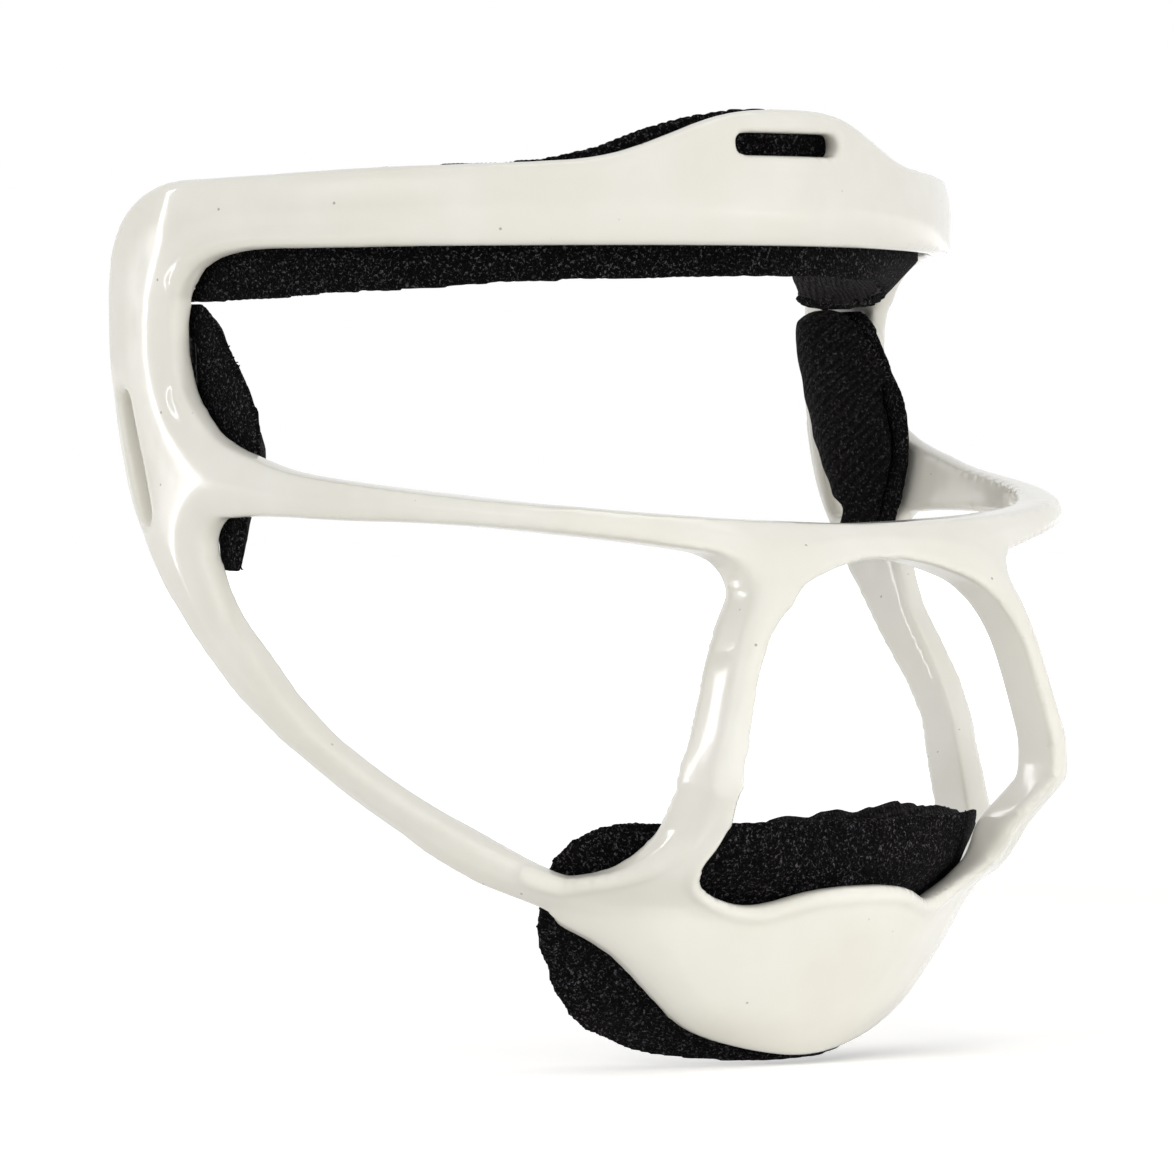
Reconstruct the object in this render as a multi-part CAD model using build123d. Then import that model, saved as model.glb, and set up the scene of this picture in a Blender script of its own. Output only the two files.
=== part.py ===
from build123d import *
from math import atan2, copysign, cos, degrees, pi, radians, sin
import os

os.makedirs("parts", exist_ok=True)

# Softball face guard, worn on the head.
# +Z is up, -Y is forward, +X is the wearer's left. The origin lies on the middle plane,
# at temple level, where the front edge of the uprights crosses it. Lengths are in mm.

# Overall sizes of the moulded frame
half_width = 91.0  # middle plane to the outside of an upright
upright_reach = 22.0  # origin back to the rear edge of the uprights
brow_depth = 83.0  # origin forward to the front of the forehead band
bar_depth = 106.5  # origin forward to the top edge of the cheek bar
lip_depth = 113.0  # origin forward to the bottom edge of the cheek bar
mouth_depth = 122.5  # origin forward to the front of the struts, were they to meet
chin_depth = 105.5  # origin forward to the top of the chin plate
brow_rise = 64.0  # origin up to the peak of the forehead band
chin_drop = 120.0  # origin down to the bottom of the chin plate

# Wall thicknesses of the moulded frame
shell_wall = 4.0  # forehead band and uprights
side_wall = 4.8  # cheek bar beside the eyes
bar_wall = 10.7  # cheek bar and struts in front of the face
jaw_wall = 6.0  # jaw bars
chin_wall = 3.8  # chin plate

# Webbing slots
strap_slot_width = 5.0
strap_slot_length = 28.0
strap_slot_lean = 17.5  # degrees from upright
strap_slot_back = 12.2  # origin back to the middle of the side slot
strap_slot_down = 3.8  # origin down to the middle of the side slot
brow_slot_width = 5.0
brow_slot_length = 26.0
brow_slot_up = 57.4  # origin up to the middle of the forehead slot

# Hook patches glued inside the frame
hook_thickness = 1.8
hook_corner = 4.0
brow_hook_length = 46.0  # middle patch of the forehead band
brow_hook_height = 13.0
brow_hook_up = 46.2  # origin up to its middle
brow_end_hook_length = 22.0  # forehead patches over the temples
brow_end_hook_height = 11.0
brow_end_hook_ahead = 6.0  # origin forward to their middle
brow_end_hook_up = 43.4
temple_hook_width = 9.4
temple_hook_height = 22.0
temple_hook_back = 4.3  # origin back to the middle of a temple patch
temple_hook_up = 11.0
chin_hook_length = 15.0
chin_hook_height = 20.0
chin_hook_across = 15.0  # middle plane to the middle of a chin patch
chin_hook_down = 101.0

# Layers of every pad
hook_gap = 0.3  # patch to pad
backing_thickness = 1.2  # loop fabric, the pad's outer layer
cover_thickness = 1.1  # knit fabric over the foam

# Forehead pad
brow_pad_thickness = 12.0
brow_pad_back = 11.5  # origin back to its ends
brow_pad_top = 64.6  # origin up to its peak
brow_pad_bottom = 27.0  # origin up to its lower corners

# Temple pads
temple_pad_thickness = 10.8
temple_pad_length = 32.5
temple_pad_back = 13.5  # origin back to the rear edge
temple_pad_top = 26.5  # origin up to the top edge
temple_pad_drop = 26.0  # origin down to the lower corner

# Chin pad
chin_pad_thickness = 13.0
chin_pad_turn = 78.5  # degrees from straight ahead to an end
chin_pad_top = 73.5  # origin down to the top edge
chin_pad_upright = 78.0  # origin down to where its near face turns upright
chin_pad_bottom = 121.5  # origin down to the bottom edge

# Working sizes
overrun = 40.0  # how far a cutting shape runs past the frame
fan_axis_ahead = 15.0  # upright line that the forehead pad's sections share
chin_axis_ahead = 55.0  # upright line that the chin pad's sections share
plan_steps = 18
draw_share = 0.22  # how far a pad's sides draw in, of its thickness
shoulder_share = 0.55  # where the crown of a pad starts, of its thickness
chin_stop_shares = [1, 0.8, 0.58, 0.37, 0.2, 0]  # from the top of the chin pad down
temple_lean_share = 0.25  # how far a temple pad's front shoulder draws in, of its length


# Heights are shares of the brow rise above the origin and of the chin drop below it.
def height(share):
    return share * (brow_rise if share > 0 else chin_drop)


# Distances ahead are shares of the mouth depth, those behind of the upright reach.
def ahead(share):
    return share * (mouth_depth if share > 0 else upright_reach)


# The frame is one U-shaped wall, given level by level from the top down: height, half
# width, depth, fullness of the U, and wall thickness at the side and at the front.
wall_levels = [
    (height(1.030), half_width, brow_depth, 1.70, shell_wall, shell_wall),
    (height(0.547), half_width, brow_depth, 1.70, shell_wall, shell_wall),
    (height(-0.025), half_width * 0.989, bar_depth * 0.977, 2.60, side_wall, bar_wall),
    (height(-0.133), half_width * 0.989, bar_depth, 2.70, side_wall, bar_wall),
    (height(-0.192), half_width * 0.989, lip_depth, 2.50, side_wall, bar_wall),
    (height(-0.258), half_width * 0.984, mouth_depth * 0.971, 2.30, side_wall, bar_wall),
    (height(-0.333), half_width * 0.978, mouth_depth * 0.988, 2.35, jaw_wall, bar_wall),
    (height(-0.417), half_width * 0.962, mouth_depth * 0.992, 2.60, jaw_wall, bar_wall),
    (height(-0.483), half_width * 0.929, mouth_depth, 2.80, jaw_wall, bar_wall),
    (height(-0.550), half_width * 0.868, mouth_depth * 0.996, 3.00, jaw_wall, bar_wall),
    (height(-0.633), half_width * 0.797, chin_depth * 1.048, 3.00, jaw_wall, bar_wall * 0.8),
    (height(-0.692), half_width * 0.817, chin_depth * 1.025, 2.35, jaw_wall, bar_wall * 0.5),
    (height(-0.750), half_width * 0.967, chin_depth, 1.60, jaw_wall, chin_wall),
    (height(-0.833), half_width * 0.923, chin_depth * 0.948, 1.65, jaw_wall, chin_wall),
    (height(-0.917), half_width * 0.853, chin_depth * 0.891, 1.70, jaw_wall, chin_wall),
    (height(-1.030), half_width * 0.640, chin_depth * 0.805, 1.80, jaw_wall, chin_wall),
]


def wall_at(z):
    if z >= wall_levels[0][0]:
        return wall_levels[0][1:]
    for above, below in zip(wall_levels, wall_levels[1:]):
        if z >= below[0]:
            part = (above[0] - z) / (above[0] - below[0])
            return [a + (b - a) * part for a, b in zip(above[1:], below[1:])]
    return wall_levels[-1][1:]


# Half width and depth of the wall's inner face at height z, moved inward by inset.
def inner_face(z, inset):
    half, depth, fullness, side, front = wall_at(z)
    return half - side - inset, depth - front - inset, fullness


def plan_points(half, depth, fullness, z):
    points = []
    for step in range(plan_steps + 1):
        turn = pi * step / plan_steps
        across = copysign(abs(cos(turn)) ** (2 / fullness), cos(turn))
        points.append((half * across, -depth * abs(sin(turn)) ** (2 / fullness), z))
    return points


# Closed outline from pieces that share their end points: two points make a line.
def closed_face(*pieces):
    edges = []
    for points in pieces:
        edges.append(Line(*points) if len(points) == 2 else Spline(*points))
    return Face(Wire(edges))


def wall_section(z, half, depth, fullness, side, front):
    outer = plan_points(half, depth, fullness, z)
    inner = plan_points(half - side, depth - front, fullness, z)[::-1]
    back = upright_reach + overrun
    rear = [(x, back, z) for x in (half, -half, side - half, half - side)]
    return closed_face([rear[0], outer[0]], outer, [outer[-1], rear[1]], [rear[1], rear[2]],
                       [rear[2], inner[0]], inner, [inner[-1], rear[3]], [rear[3], rear[0]])


# Shapes cut along X are drawn in side view, those cut along Y in front view.
side_reach = half_width + overrun
front_reach = mouth_depth + overrun


def side_point(f_share, z_share):
    return (-side_reach, -ahead(f_share), height(z_share))


def front_point(x_share, z_share):
    return (half_width * x_share, -front_reach, height(z_share))


def side_cut(*pieces):
    outline = [[side_point(*p) for p in piece] for piece in pieces]
    return extrude(closed_face(*outline), 2 * side_reach, dir=(1, 0, 0))


def front_cut(depth, *pieces):
    outline = [[front_point(*p) for p in piece] for piece in pieces]
    return extrude(closed_face(*outline), depth, dir=(0, 1, 0))


def mirrored(points):
    return [(-x, z) for x, z in reversed(points)]


# Side view: the rear edge of an upright, from the top corner down the jaw bar to the chin.
rear_edge_shares = [
    (0.078, 0.791), (-0.109, 0.780), (-0.432, 0.748), (-0.705, 0.691), (-0.891, 0.602),
    (-0.982, 0.484), (-1.000, 0.344), (-0.986, 0.219), (-0.927, 0.109), (-0.841, -0.019),
    (-0.682, -0.102), (-0.468, -0.167), (-0.177, -0.240), (0.047, -0.321), (0.131, -0.401),
    (0.225, -0.482), (0.312, -0.562), (0.400, -0.631), (0.490, -0.688), (0.555, -0.727),
    (0.595, -0.753),
]
# Front view: the top edge of the band, and the bottom edge of the chin plate.
top_edge_shares = [
    (1.044, 0.784), (0.945, 0.795), (0.824, 0.813), (0.681, 0.825), (0.511, 0.836),
    (0.423, 0.848), (0.374, 0.864), (0.324, 0.889), (0.269, 0.921), (0.220, 0.950),
    (0.170, 0.975), (0.099, 0.994), (0.000, 1.000),
]
chin_edge_shares = [
    (1.099, -0.650), (0.879, -0.667), (0.747, -0.694), (0.659, -0.722), (0.593, -0.747),
    (0.538, -0.775), (0.482, -0.803), (0.426, -0.837), (0.374, -0.877), (0.318, -0.920),
    (0.246, -0.958), (0.178, -0.977), (0.099, -0.991), (0.000, -0.999),
]
# Side view: the eye window, from the band over the front of the upright to the cheek bar.
eye_edge_shares = [
    (0.245, 0.584), (0.163, 0.581), (0.114, 0.566), (0.074, 0.539), (0.044, 0.497),
    (0.023, 0.438), (0.012, 0.367), (0.010, 0.294), (0.016, 0.213), (0.034, 0.133),
    (0.061, 0.070), (0.092, 0.020), (0.135, -0.011), (0.204, -0.032), (0.261, -0.048),
    (0.335, -0.061), (0.498, -0.081), (0.620, -0.096), (0.718, -0.107),
]
# Front view: the top of the cheek bar where it dips before the nose.
bar_dip_shares = [
    (0.824, -0.075), (0.681, -0.103), (0.582, -0.113), (0.468, -0.121), (0.346, -0.128),
    (0.207, -0.133), (0.000, -0.138),
]
# Side view: the cheek window, under the cheek bar and along the front of the jaw bar.
cheek_top_shares = [(0.522, -0.128), (0.331, -0.125), (0.212, -0.123), (0.139, -0.126)]
cheek_jaw_shares = [
    (0.139, -0.126), (0.102, -0.135), (0.082, -0.161), (0.088, -0.197), (0.109, -0.242),
    (0.133, -0.287), (0.184, -0.343), (0.240, -0.402), (0.301, -0.464), (0.362, -0.520),
    (0.423, -0.567), (0.488, -0.611), (0.555, -0.652), (0.611, -0.689), (0.649, -0.708),
]
cheek_past_shares = [(0.649, -0.708), (0.820, -0.767), (1.230, -0.767), (1.230, -0.060),
                     (0.653, -0.095), (0.522, -0.128)]
# Front view: the same window, round the outside of a strut.
cheek_strut_shares = [
    (0.886, -0.128), (0.769, -0.136), (0.608, -0.153), (0.514, -0.163), (0.440, -0.172),
    (0.382, -0.183), (0.354, -0.205), (0.348, -0.232), (0.363, -0.263), (0.398, -0.317),
    (0.440, -0.417), (0.469, -0.483), (0.484, -0.546), (0.473, -0.588), (0.465, -0.625),
    (0.482, -0.662), (0.516, -0.690), (0.566, -0.702), (0.615, -0.715), (0.681, -0.767),
]
cheek_out_shares = [(0.681, -0.767), (1.210, -0.767), (1.210, -0.070), (0.989, -0.100),
                    (0.886, -0.128)]
# Front view: the mouth window, from under the nose round a strut to the chin plate's rim.
mouth_edge_shares = [
    (0.000, -0.188), (0.080, -0.193), (0.140, -0.203), (0.196, -0.217), (0.242, -0.233),
    (0.277, -0.257), (0.316, -0.288), (0.345, -0.320), (0.371, -0.367), (0.394, -0.425),
    (0.412, -0.479), (0.423, -0.537), (0.411, -0.575), (0.390, -0.608), (0.387, -0.650),
    (0.392, -0.679), (0.376, -0.705), (0.341, -0.725), (0.297, -0.740), (0.236, -0.749),
    (0.187, -0.742), (0.148, -0.732), (0.088, -0.723), (0.000, -0.720),
]


def pairs(points):
    return [[a, b] for a, b in zip(points, points[1:])]


def make_frame():
    wall = loft([wall_section(*level) for level in wall_levels], ruled=True)
    past = [rear_edge_shares[-1], (0.540, -0.830), (0.540, -1.250), (1.230, -1.250),
            (1.230, 1.250), (0.490, 1.250), rear_edge_shares[0]]
    body = wall & side_cut(rear_edge_shares, *pairs(past))
    top = top_edge_shares + mirrored(top_edge_shares)[1:]
    chin = chin_edge_shares + mirrored(chin_edge_shares)[1:]
    body &= front_cut(2 * front_reach, top, [top[-1], chin[-1]], chin[::-1], [chin[0], top[0]])
    eye_past = [eye_edge_shares[-1], (1.230, -0.107), (1.230, 0.606), eye_edge_shares[0]]
    body -= side_cut(eye_edge_shares, *pairs(eye_past))
    dip = bar_dip_shares + mirrored(bar_dip_shares)[1:]
    dip_past = [dip[-1], (-0.824, 0.078), (0.824, 0.078), dip[0]]
    body -= front_cut(front_reach - mouth_depth * 0.490, dip, *pairs(dip_past))
    cheek_side = side_cut(cheek_top_shares, cheek_jaw_shares, *pairs(cheek_past_shares))
    cheek = cheek_side & front_cut(front_reach, cheek_strut_shares, *pairs(cheek_out_shares))
    body -= cheek
    body -= mirror(cheek, about=Plane.YZ)
    return body - front_cut(front_reach, mouth_edge_shares, mirrored(mouth_edge_shares))


# Drawing planes that look along +X and along +Y, with their y axis up.
def side_plane(back, up):
    return Plane(origin=(-side_reach, back, up), x_dir=(0, 1, 0), z_dir=(1, 0, 0))


def front_plane(across, up):
    return Plane(origin=(across, -front_reach, up), x_dir=(-1, 0, 0), z_dir=(0, 1, 0))


def cut_slots(body):
    side = side_plane(strap_slot_back, -strap_slot_down)
    side *= Rot(0, 0, 90 - strap_slot_lean)
    body -= extrude(side * SlotOverall(strap_slot_length, strap_slot_width), 2 * side_reach)
    front = front_plane(0, brow_slot_up)
    return body - extrude(front * SlotOverall(brow_slot_length, brow_slot_width), front_reach)


# A skin as thick as a hook patch lies on the whole inner face, and each patch is cut from it.
def make_hook_skin():
    sections = []
    for z, half, depth, fullness, side, front in wall_levels:
        sections.append(wall_section(z, half - side, depth - front, fullness,
                                     hook_thickness, hook_thickness))
    return loft(sections, ruled=True)


def hook_patch(skin, plane, length, height_up, reach):
    return skin & extrude(plane * RectangleRounded(length, height_up, hook_corner), reach)


def make_hooks():
    skin = make_hook_skin()
    brow = front_plane(0, brow_hook_up)
    brow_end = side_plane(-brow_end_hook_ahead, brow_end_hook_up)
    temple = side_plane(temple_hook_back, temple_hook_up)
    chin = front_plane(-chin_hook_across, -chin_hook_down)
    right = {
        "forehead_hook_right": (brow_end, brow_end_hook_length, brow_end_hook_height, side_reach),
        "temple_hook_right": (temple, temple_hook_width, temple_hook_height, side_reach),
        "chin_hook_right": (chin, chin_hook_length, chin_hook_height, front_reach),
    }
    hooks = {"forehead_hook_center": hook_patch(skin, brow, brow_hook_length,
                                                brow_hook_height, front_reach)}
    for name, values in right.items():
        hooks[name] = hook_patch(skin, *values)
        hooks[name.replace("right", "left")] = mirror(hooks[name], about=Plane.YZ)
    return hooks


# A pad is drawn section by section. A section's stops are places along its near face, which
# lies on the hook patches, and nears say how far out the face is there. place gives the point
# that lies along that face and so deep behind it.
def section_place(stops, nears, to_point):
    known = list(zip(stops, nears))

    def place(along, deep):
        for (start, first), (end, last) in zip(known, known[1:]):
            if along <= end:
                break
        near = first + (last - first) * (along - start) / (end - start)
        return to_point(along, near - deep)
    return place


# Sections on upright planes that fan out from an upright line inside the U of the wall.
def fan_section(azimuth, axis_ahead, stops, wall_heights):
    turn = radians(azimuth)

    def reach(z):
        half, depth, fullness = inner_face(z, hook_thickness + hook_gap)
        low, high = 0, half + depth
        for _ in range(40):
            distance = (low + high) / 2
            across = abs(distance * sin(turn)) / half
            forward = max(axis_ahead + distance * cos(turn), 0) / depth
            inside = across ** fullness + forward ** fullness < 1
            low, high = (distance, high) if inside else (low, distance)
        return low

    def to_point(z, distance):
        return (distance * sin(turn), -axis_ahead - distance * cos(turn), z)
    return stops, section_place(stops, [reach(z) for z in wall_heights], to_point), 0


# Level sections through a temple pad, from its rear edge to its front edge.
def level_section(z, rear, front):
    half, depth, fullness = inner_face(z, hook_thickness + hook_gap)

    def reach(forward):
        share = max(forward, 0) / depth
        return half * (1 - share ** fullness) ** (1 / fullness)

    def to_point(forward, distance):
        return (-distance, -forward, z)
    stops = (rear, (rear + front) / 2, front)
    nears = [reach(forward) for forward in stops]
    return stops, section_place(stops, nears, to_point), temple_lean_share


# The crown of a section: its feet on the loop backing, its shoulders and its middle. The
# lean is how much further the last shoulder draws in, as a share of the section's length.
def crown_points(section, edge, depth):
    stops, place, lean = section
    start, end = stops[0], stops[-1]
    inward = edge + draw_share * depth
    leaning = lean * (end - start)
    shoulder = shoulder_share * depth
    return [place(start + edge, backing_thickness), place(start + inward, shoulder),
            place((start + end - leaning) / 2, depth), place(end - inward - leaning, shoulder),
            place(end - edge, backing_thickness)]


def crown_edges(points):
    foot, shoulder, middle, far_shoulder, far_foot = points
    return [Line(foot, shoulder), ThreePointArc(shoulder, middle, far_shoulder),
            Line(far_shoulder, far_foot)]


def closed_edges(edges, points):
    return Face(Wire(edges + [Line(a, b) for a, b in pairs(points)]))


def backing_face(section, depth):
    stops, place, lean = section
    near = [place(along, 0) for along in stops]
    far = [place(along, backing_thickness) for along in stops]
    return closed_edges([], near + far[::-1] + near[:1])


def filled_face(section, edge, depth):
    stops, place, lean = section
    crown = crown_points(section, edge, depth - edge)
    near = [place(along, backing_thickness) for along in stops[-2:0:-1]]
    return closed_edges(crown_edges(crown), [crown[-1], *near, crown[0]])


def foam_face(section, depth):
    return filled_face(section, cover_thickness, depth)


def end_face(section, depth):
    return filled_face(section, 0, depth)


def cover_face(section, depth):
    outer = crown_points(section, 0, depth)
    inner = crown_points(section, cover_thickness, depth - cover_thickness)[::-1]
    edges = crown_edges(outer) + [Line(outer[-1], inner[0])]
    return Face(Wire(edges + crown_edges(inner) + [Line(inner[-1], outer[0])]))


# The three layers of a pad. The cover closes over the foam between the last two sections
# at each end.
def make_pad(sections, depths):
    rows = list(zip(sections, depths))

    def layer(face, part):
        return loft([face(section, depth) for section, depth in part], ruled=True)
    cover = layer(cover_face, rows[1:-1]) + layer(end_face, rows[:2]) + layer(end_face, rows[-2:])
    return {"loop_backing": layer(backing_face, rows), "foam_core": layer(foam_face, rows[1:-1]),
            "cover": cover}


# Half of the forehead pad from the middle plane to an end. Each row gives the turn as a share
# of the end's, the bottom and the top as shares of the pad's height, and the thickness.
brow_pad_shares = [
    (0.00, 0.12, 1.000, 1.00), (0.08, 0.12, 0.992, 1.00), (0.16, 0.12, 0.955, 1.00),
    (0.24, 0.12, 0.890, 1.00), (0.32, 0.12, 0.795, 1.00), (0.40, 0.11, 0.735, 1.00),
    (0.48, 0.10, 0.710, 1.00), (0.56, 0.08, 0.703, 1.00), (0.64, 0.06, 0.690, 1.00),
    (0.72, 0.04, 0.665, 1.00), (0.80, 0.01, 0.630, 1.00), (0.88, 0.00, 0.600, 1.00),
    (0.95, 0.00, 0.565, 0.92), (0.985, 0.02, 0.510, 0.72), (1.00, 0.06, 0.450, 0.55),
]
# The same for the chin pad, with the shares of height going down.
chin_pad_shares = [
    (0.00, 1.000, 0.00, 1.00), (0.14, 1.000, 0.00, 1.00), (0.27, 0.998, 0.00, 1.00),
    (0.39, 0.994, 0.00, 1.00), (0.50, 0.988, 0.00, 1.00), (0.60, 0.981, 0.00, 1.00),
    (0.68, 0.972, 0.00, 1.00), (0.75, 0.958, 0.01, 1.00), (0.83, 0.930, 0.07, 1.00),
    (0.89, 0.893, 0.15, 0.96), (0.94, 0.835, 0.26, 0.88), (0.98, 0.750, 0.37, 0.72),
    (1.00, 0.670, 0.44, 0.54),
]
# A temple pad from the bottom up: height, rear and front edge, and thickness.
temple_pad_shares = [
    (0.000, 0.660, 0.780, 0.40), (0.030, 0.620, 0.800, 0.46), (0.105, 0.600, 0.830, 0.50),
    (0.190, 0.565, 0.875, 0.59), (0.286, 0.490, 0.945, 0.74), (0.380, 0.400, 0.990, 0.90),
    (0.495, 0.275, 1.000, 1.00), (0.590, 0.195, 0.978, 1.00), (0.686, 0.105, 0.892, 1.00),
    (0.772, 0.040, 0.785, 1.00), (0.857, 0.000, 0.686, 1.00), (0.933, 0.010, 0.600, 0.90),
    (0.970, 0.040, 0.535, 0.74), (1.000, 0.100, 0.460, 0.52),
]


def both_sides(rows):
    return [(-turn, *rest) for turn, *rest in rows[:0:-1]] + rows


def make_brow_pad():
    inner_half = half_width - shell_wall - hook_thickness - hook_gap
    end_turn = 90 + degrees(atan2(fan_axis_ahead + brow_pad_back, inner_half))
    rise = brow_pad_top - brow_pad_bottom
    sections = []
    depths = []
    for turn, low, high, thick in both_sides(brow_pad_shares):
        bottom = brow_pad_bottom + low * rise
        top = brow_pad_bottom + high * rise
        stops = (bottom, (bottom + top) / 2, top)
        sections.append(fan_section(turn * end_turn, fan_axis_ahead, stops, [brow_rise] * 3))
        depths.append(thick * brow_pad_thickness)
    return make_pad(sections, depths)


def make_chin_pad():
    drop = chin_pad_bottom - chin_pad_top
    sections = []
    depths = []
    for turn, low, high, thick in both_sides(chin_pad_shares):
        bottom = -chin_pad_top - low * drop
        top = -chin_pad_top - high * drop
        stops = [top + (bottom - top) * share for share in chin_stop_shares]
        walls = [min(z, -chin_pad_upright) for z in stops]
        sections.append(fan_section(turn * chin_pad_turn, chin_axis_ahead, stops, walls))
        depths.append(thick * chin_pad_thickness)
    return make_pad(sections, depths)


def make_temple_pad():
    rise = temple_pad_top + temple_pad_drop
    sections = []
    depths = []
    for up, rear, front, thick in temple_pad_shares:
        sections.append(level_section(up * rise - temple_pad_drop,
                                      rear * temple_pad_length - temple_pad_back,
                                      front * temple_pad_length - temple_pad_back))
        depths.append(thick * temple_pad_thickness)
    return make_pad(sections, depths)


nodes = {"face_frame": cut_slots(make_frame()), **make_hooks()}
for layer, solid in make_brow_pad().items():
    nodes["forehead_pad_" + layer] = solid
for layer, solid in make_chin_pad().items():
    nodes["chin_pad_" + layer] = solid
for layer, solid in make_temple_pad().items():
    nodes["right_temple_pad_" + layer] = solid
    nodes["left_temple_pad_" + layer] = mirror(solid, about=Plane.YZ)

for name, solid in nodes.items():
    export_step(solid, "parts/" + name + ".step")
    print(name, round(solid.volume), len(solid.solids()))
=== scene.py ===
import math

import bmesh
import bpy
from mathutils import Matrix, Vector, noise
from mathutils.bvhtree import BVHTree
from mathutils.kdtree import KDTree


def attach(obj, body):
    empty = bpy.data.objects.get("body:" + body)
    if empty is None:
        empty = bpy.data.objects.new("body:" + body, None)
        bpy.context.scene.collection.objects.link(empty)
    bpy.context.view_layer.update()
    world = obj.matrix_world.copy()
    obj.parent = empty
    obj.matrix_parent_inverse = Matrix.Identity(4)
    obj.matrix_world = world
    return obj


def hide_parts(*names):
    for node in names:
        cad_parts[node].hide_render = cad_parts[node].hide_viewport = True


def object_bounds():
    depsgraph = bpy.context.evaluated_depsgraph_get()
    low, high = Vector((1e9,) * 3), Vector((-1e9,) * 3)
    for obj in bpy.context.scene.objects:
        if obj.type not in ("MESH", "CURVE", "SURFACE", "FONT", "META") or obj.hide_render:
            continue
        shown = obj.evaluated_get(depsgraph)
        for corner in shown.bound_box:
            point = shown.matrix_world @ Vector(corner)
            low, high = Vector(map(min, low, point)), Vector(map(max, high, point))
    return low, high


# Softball face guard: a glossy moulded frame with four black pads on hook patches.
# Lengths are in metres. A texture's scale is per metre, so 40 gives patches of 25 mm.
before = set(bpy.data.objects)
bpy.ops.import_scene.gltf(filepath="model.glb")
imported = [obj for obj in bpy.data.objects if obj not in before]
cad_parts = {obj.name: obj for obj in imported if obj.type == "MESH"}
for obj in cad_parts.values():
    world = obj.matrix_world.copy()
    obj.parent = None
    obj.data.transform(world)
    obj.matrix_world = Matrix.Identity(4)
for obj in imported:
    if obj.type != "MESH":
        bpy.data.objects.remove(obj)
cadLow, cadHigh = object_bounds()
scene = bpy.context.scene
weldDistance = 0.00001         # points of a CAD mesh that are nearer than this are one


def clamp(value):  # held between 0 and 1
    return min(max(value, 0), 1)


def linear(code):  # sRGB hex to a linear colour
    parts = [int(code[i:i + 2], 16) / 255 for i in (1, 3, 5)]
    return [p / 12.92 if p <= 0.04045 else ((p + 0.055) / 1.055) ** 2.4 for p in parts] + [1]


def mergedMesh(*nodes):
    mesh = bmesh.new()
    for node in nodes:
        mesh.from_mesh(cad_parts[node].data)
    bmesh.ops.remove_doubles(mesh, verts=mesh.verts, dist=weldDistance)
    return mesh


def treeOf(*nodes):
    mesh = mergedMesh(*nodes)
    tree = BVHTree.FromBMesh(mesh)
    mesh.free()
    return tree


def newPiece(name, mesh):
    data = bpy.data.meshes.new(name)
    mesh.to_mesh(data)
    mesh.free()
    piece = bpy.data.objects.new(name, data)
    scene.collection.objects.link(piece)
    return piece


def bake(piece):  # leaves the mesh as its modifiers show it
    graph = bpy.context.evaluated_depsgraph_get()
    data = bpy.data.meshes.new_from_object(piece.evaluated_get(graph))
    piece.modifiers.clear()
    piece.data = data


def rebuild(piece, voxel):
    remesh = piece.modifiers.new("remesh", "REMESH")
    remesh.mode = "VOXEL"
    remesh.voxel_size = voxel
    bake(piece)


def weightGroup(piece, name, weights):
    group = piece.vertex_groups.get(name) or piece.vertex_groups.new(name=name)
    for index, weight in enumerate(weights):
        group.add([index], weight, "REPLACE")
    return group


def soften(piece, passes, weights=None):
    smooth = piece.modifiers.new("smooth", "SMOOTH")
    smooth.iterations = passes
    smooth.factor = 0.5
    if weights:
        smooth.vertex_group = weightGroup(piece, "soften", weights).name
    bake(piece)


def pushOut(piece, howFar):  # the normals are all read before anything moves
    steps = [(vertex.co.copy(), vertex.normal.copy()) for vertex in piece.data.vertices]
    for vertex, (place, normal) in zip(piece.data.vertices, steps):
        vertex.co = place + normal * howFar(place, normal)


def finishPiece(piece, body, slot, material, *nodes):
    for face in piece.data.polygons:
        face.use_smooth = True
    piece.data.materials.clear()
    piece.data.materials.append(material)
    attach(piece, body)
    if nodes:
        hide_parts(*nodes)


def newMaterial(name):
    material = bpy.data.materials.new(name)
    material.use_nodes = True
    tree = material.node_tree
    return material, tree, tree.nodes["Principled BSDF"]


def addNode(tree, kind, values=None, stops=(), **settings):  # stops are (place, colour code)
    node = tree.nodes.new("ShaderNode" + kind)
    for key, value in settings.items():
        setattr(node, key, value)
    for key, value in (values or {}).items():
        if isinstance(value, bpy.types.NodeSocket):
            tree.links.new(value, node.inputs[key])
        else:
            node.inputs[key].default_value = value
    if stops:
        points = node.color_ramp.elements
        while len(points) < len(stops):
            points.new(0.5)
        for point, (place, code) in zip(points, stops):
            point.position = place
            point.color = linear(code)
    return node


def link(tree, source, shader, socket):
    tree.links.new(source, shader.inputs[socket])


plasticLook = {
    "colour": "#EFEDE4",       # warm off-white of the moulding
    "shade": "#EAE7DC",        # its faint cloudiness
    "clouds": 38,              # clouds of about 26 mm
    "speck": "#8E8778",        # grit caught in the gloss
    "specks": 170,             # one speck at most in each 6 mm
    "speckEdge": (0.035, 0.06),  # where its dark core ends and its rim, in cells of 6 mm
    "speckPick": 55,           # patches of 18 mm that hold specks or none
    "speckPatch": (0.44, 0.54),
    "speckMost": 0.7,
    "roughness": (0.10, 0.20),
    "smears": 90,              # the roughness varies over about 11 mm
    "waves": 75,               # soft waves of about 13 mm
    "waveStrength": 0.25,
    "waveHeight": 0.0006,
}


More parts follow.
